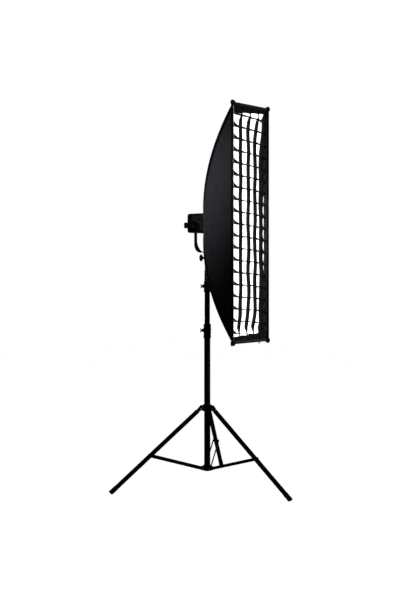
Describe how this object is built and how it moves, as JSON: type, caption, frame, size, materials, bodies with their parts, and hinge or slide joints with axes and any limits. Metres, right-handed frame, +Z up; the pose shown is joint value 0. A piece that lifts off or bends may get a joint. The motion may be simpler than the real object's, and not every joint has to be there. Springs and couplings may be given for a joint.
{
  "type": "studio softbox",
  "caption": "Tall strip softbox with an egg-crate grid on an LED studio lamp, held by a yoke on a folding light stand.",
  "frame": {"origin": "on the floor, under the stand's column axis", "axes": "+Z up; the softbox faces -Y; +X to the right seen from the front"},
  "size_m": [1.0871, 0.9703, 2.306],
  "materials": {
    "stand_tube": "black anodised tube, satin",
    "stand_bar": "black powder-coated flat bar",
    "stand_casting": "black glass-filled nylon",
    "hardware": "zinc-plated rivets and bolts",
    "knob_plastic": "soft black moulded plastic",
    "foot_rubber": "black rubber",
    "spigot_metal": "turned aluminium",
    "cast_metal": "black painted aluminium casting",
    "lamp_shell": "dark grey powder coat on aluminium",
    "lamp_plastic": "black textured plastic",
    "display_glass": "dark display window",
    "heat_sink_metal": "bare aluminium",
    "led_board": "light source board with yellow emitter",
    "circuit_board": "green circuit board",
    "clear_glass": "clear protective glass",
    "mount_metal": "bead-blasted aluminium",
    "rod_fibre": "black fibreglass rod",
    "outer_fabric": "black coated nylon, silver inside",
    "diffuser_fabric": "white translucent nylon",
    "grid_fabric": "black nylon webbing strips"
  },
  "bodies": {
    "column": {"lower_tube": "stand_tube", "column_end_plug": "stand_casting", "brace_collar": "stand_casting", "brace_pins": "hardware", "lower_lock_collar": "stand_casting"},
    "hub": {"leg_hub": "stand_casting", "leg_pins": "hardware"},
    "hub_knob": {"hub_lock_knob": "knob_plastic"},
    "leg_rear": {"leg_tube_rear": "stand_tube", "leg_fitting_rear": "stand_casting", "leg_foot_rear": "foot_rubber"},
    "leg_left": {"leg_tube_left": "stand_tube", "leg_fitting_left": "stand_casting", "leg_foot_left": "foot_rubber"},
    "leg_right": {"leg_tube_right": "stand_tube", "leg_fitting_right": "stand_casting", "leg_foot_right": "foot_rubber"},
    "brace_rear": {"brace_rear": "stand_bar"},
    "brace_left": {"brace_left": "stand_bar"},
    "brace_right": {"brace_right": "stand_bar"},
    "lower_knob": {"lower_lock_knob": "knob_plastic"},
    "mid_section": {"mid_tube": "stand_tube", "upper_lock_collar": "stand_casting"},
    "upper_knob": {"upper_lock_knob": "knob_plastic"},
    "top_section": {"upper_tube": "stand_tube", "top_spigot": "spigot_metal"},
    "yoke_head": {"stand_receiver": "cast_metal", "yoke": "cast_metal", "yoke_bolt": "hardware"},
    "receiver_knob": {"receiver_knob": "knob_plastic"},
    "tilt_lever": {"tilt_lever": "knob_plastic"},
    "lamp": {"lamp_housing": "lamp_shell", "rear_cover": "lamp_plastic", "display_window": "display_glass", "power_inlet": "lamp_plastic", "heat_sink": "heat_sink_metal", "led_module": "led_board", "protective_glass": "clear_glass", "driver_board": "circuit_board", "fan_frame": "lamp_plastic", "bayonet_ring": "mount_metal", "tilt_pivots": "hardware"},
    "dial": {"dimmer_dial": "knob_plastic"},
    "mode_button": {"mode_button": "knob_plastic"},
    "set_button": {"set_button": "knob_plastic"},
    "rocker": {"power_switch": "lamp_plastic"},
    "fan": {"fan_rotor": "lamp_plastic"},
    "latch": {"release_latch": "lamp_plastic"},
    "softbox": {"speed_ring": "mount_metal", "rod_sockets": "mount_metal", "support_rods": "rod_fibre", "ring_skirt": "outer_fabric", "inner_baffle": "diffuser_fabric", "front_diffuser": "diffuser_fabric", "grid": "grid_fabric", "corner_caps": "outer_fabric", "side_panel_left": "outer_fabric", "side_panel_right": "outer_fabric", "top_panel": "outer_fabric", "bottom_panel": "outer_fabric"}
  },
  "joints": [
    {"name": "hub_slide", "type": "slide", "parent": "column", "child": "hub", "axis": [0, 0, 1], "range_m": [0, 0.396]},
    {"name": "leg_rear_fold", "type": "hinge", "parent": "hub", "child": "leg_rear", "pos_m": [0.03955, 0.02539, 0.475], "axis": [-0.5402, 0.8415, 0], "range_deg": [0, 50.34]},
    {"name": "leg_left_fold", "type": "hinge", "parent": "hub", "child": "leg_left", "pos_m": [-0.04176, 0.02156, 0.475], "axis": [-0.4587, -0.8886, 0], "range_deg": [0, 50.34]},
    {"name": "leg_right_fold", "type": "hinge", "parent": "hub", "child": "leg_right", "pos_m": [0.00221, -0.04695, 0.475], "axis": [0.9989, 0.0471, 0], "range_deg": [0, 50.34]},
    {"name": "brace_rear_fold", "type": "hinge", "parent": "column", "child": "brace_rear", "pos_m": [0.02945, 0.01891, 0.11], "axis": [0.5402, -0.8415, 0], "range_deg": [0, 71.11]},
    {"name": "brace_left_fold", "type": "hinge", "parent": "column", "child": "brace_left", "pos_m": [-0.0311, 0.01605, 0.11], "axis": [0.4587, 0.8886, 0], "range_deg": [0, 71.11]},
    {"name": "brace_right_fold", "type": "hinge", "parent": "column", "child": "brace_right", "pos_m": [0.00165, -0.03496, 0.11], "axis": [-0.9989, -0.0471, 0], "range_deg": [0, 71.11]},
    {"name": "hub_knob_turn", "type": "hinge", "parent": "hub", "child": "hub_knob", "pos_m": [0, 0, 0.48], "axis": [-0.0471, 0.9989, 0], "range_deg": [0, 180]},
    {"name": "lower_knob_turn", "type": "hinge", "parent": "column", "child": "lower_knob", "pos_m": [0, 0, 0.955], "axis": [-0.7431, 0.6691, 0], "range_deg": [0, 180]},
    {"name": "mid_slide", "type": "slide", "parent": "column", "child": "mid_section", "axis": [0, 0, 1], "range_m": [-0.18, 0.5]},
    {"name": "upper_knob_turn", "type": "hinge", "parent": "mid_section", "child": "upper_knob", "pos_m": [0, 0, 1.226], "axis": [-0.7431, 0.6691, 0], "range_deg": [0, 180]},
    {"name": "upper_slide", "type": "slide", "parent": "mid_section", "child": "top_section", "axis": [0, 0, 1], "range_m": [0, 0.6]},
    {"name": "head_pan", "type": "hinge", "parent": "top_section", "child": "yoke_head", "pos_m": [0, 0, 1.38], "axis": [0, 0, 1], "continuous": true},
    {"name": "receiver_knob_turn", "type": "hinge", "parent": "yoke_head", "child": "receiver_knob", "pos_m": [-0.03464, 0.02, 1.4], "axis": [-0.866, 0.5, 0], "range_deg": [0, 180]},
    {"name": "lamp_tilt", "type": "hinge", "parent": "yoke_head", "child": "lamp", "pos_m": [0, 0.011, 1.611], "axis": [1, 0, 0], "range_deg": [-60, 8]},
    {"name": "tilt_lever_turn", "type": "hinge", "parent": "yoke_head", "child": "tilt_lever", "pos_m": [-0.1, 0.011, 1.611], "axis": [-1, 0, 0], "range_deg": [-20, 60]},
    {"name": "dial_turn", "type": "hinge", "parent": "lamp", "child": "dial", "pos_m": [-0.035, 0.104, 1.606], "axis": [0, 1, 0], "continuous": true},
    {"name": "mode_press", "type": "slide", "parent": "lamp", "child": "mode_button", "axis": [0, -1, 0], "range_m": [0, 0.0015], "stiffness_N_per_m": 400, "springref_m": -0.001},
    {"name": "set_press", "type": "slide", "parent": "lamp", "child": "set_button", "axis": [0, -1, 0], "range_m": [0, 0.0015], "stiffness_N_per_m": 400, "springref_m": -0.001},
    {"name": "power_rock", "type": "hinge", "parent": "lamp", "child": "rocker", "pos_m": [0.054, 0.092, 1.569], "axis": [0, 0, 1], "range_deg": [0, 12]},
    {"name": "fan_spin", "type": "hinge", "parent": "lamp", "child": "fan", "pos_m": [0.037, 0.0875, 1.629], "axis": [0, 1, 0], "continuous": true},
    {"name": "latch_slide", "type": "slide", "parent": "lamp", "child": "latch", "axis": [0, 1, 0], "range_m": [0, 0.006], "stiffness_N_per_m": 300, "springref_m": -0.003},
    {"name": "softbox_roll", "type": "hinge", "parent": "lamp", "child": "softbox", "pos_m": [0, -0.045, 1.599], "axis": [0, 1, 0], "continuous": true}
  ],
  "couplings": [
    {"joint": "leg_rear_fold", "follows": "hub_slide", "rad_per_m": 2.2184},
    {"joint": "leg_left_fold", "follows": "hub_slide", "rad_per_m": 2.2184},
    {"joint": "leg_right_fold", "follows": "hub_slide", "rad_per_m": 2.2184},
    {"joint": "brace_rear_fold", "follows": "hub_slide", "rad_per_m": 3.1336},
    {"joint": "brace_left_fold", "follows": "hub_slide", "rad_per_m": 3.1336},
    {"joint": "brace_right_fold", "follows": "hub_slide", "rad_per_m": 3.1336}
  ]
}
